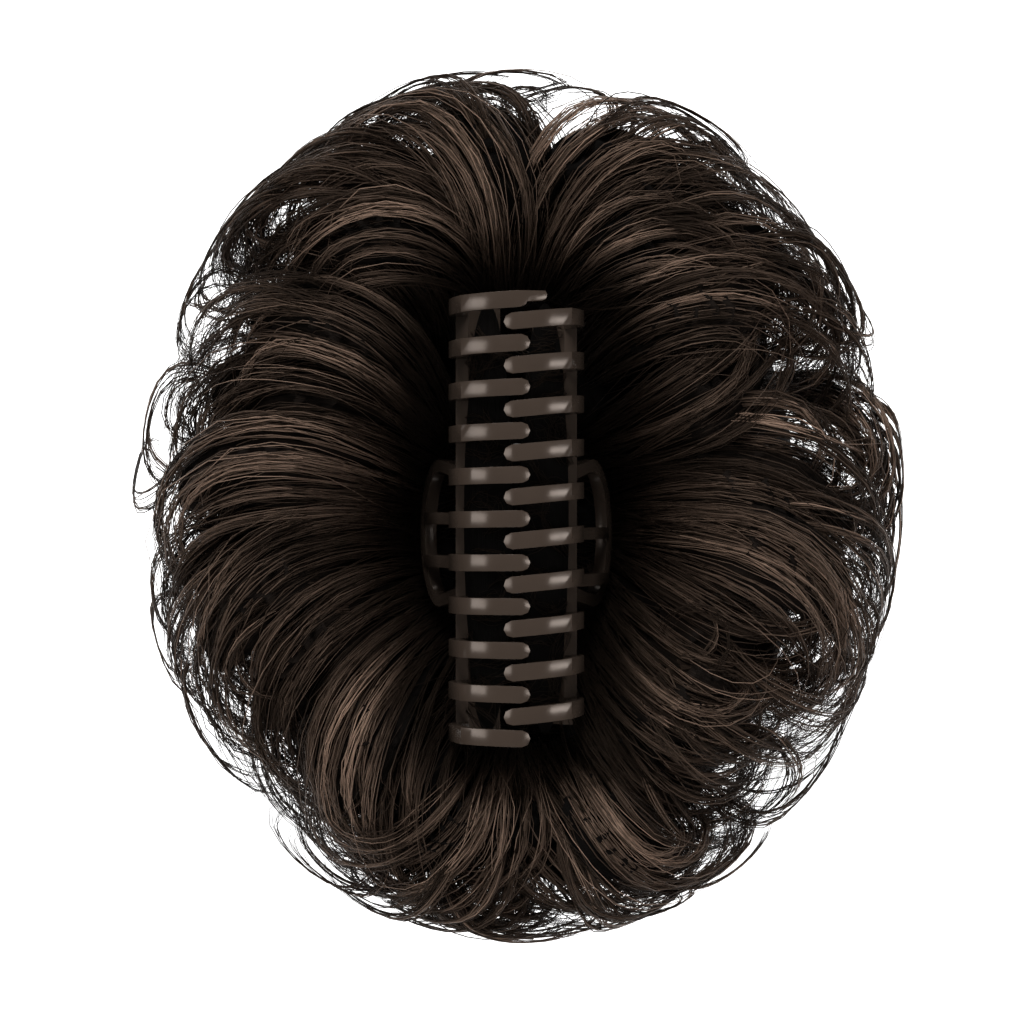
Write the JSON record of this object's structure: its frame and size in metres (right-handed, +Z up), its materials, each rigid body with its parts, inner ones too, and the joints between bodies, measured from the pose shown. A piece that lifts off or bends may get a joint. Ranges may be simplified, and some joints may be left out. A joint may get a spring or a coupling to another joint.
{
  "type": "hair extension",
  "caption": "Messy bun of curled dark brown false hair on a hinged claw clip, lying on its hair with the interlocking teeth up.",
  "frame": {"origin": "on the floor, under the middle of the outline of the whole piece", "axes": "+Z up from the hair that it lies on towards the teeth, +Y along the clip towards the end with the long thin tooth, +X towards the right jaw"},
  "size_m": [0.1467, 0.1666, 0.06],
  "materials": {
    "clip": "gloss",
    "hinge_metal": "satin",
    "hair": "satin"
  },
  "bodies": {
    "left_half": {"jaw_left": "clip", "hinge_pin": "hinge_metal", "hinge_spring": "hinge_metal", "hair_left": "hair"},
    "right_half": {"jaw_right": "clip", "hair_right": "hair"}
  },
  "joints": [
    {"name": "clip_hinge", "type": "hinge", "parent": "left_half", "child": "right_half", "pos_m": [-0.0006, -0.0021, 0.035], "axis": [0, 1, 0], "range_deg": [0, 50], "stiffness_Nm_per_rad": 0.15, "springref_deg": -34.38}
  ]
}
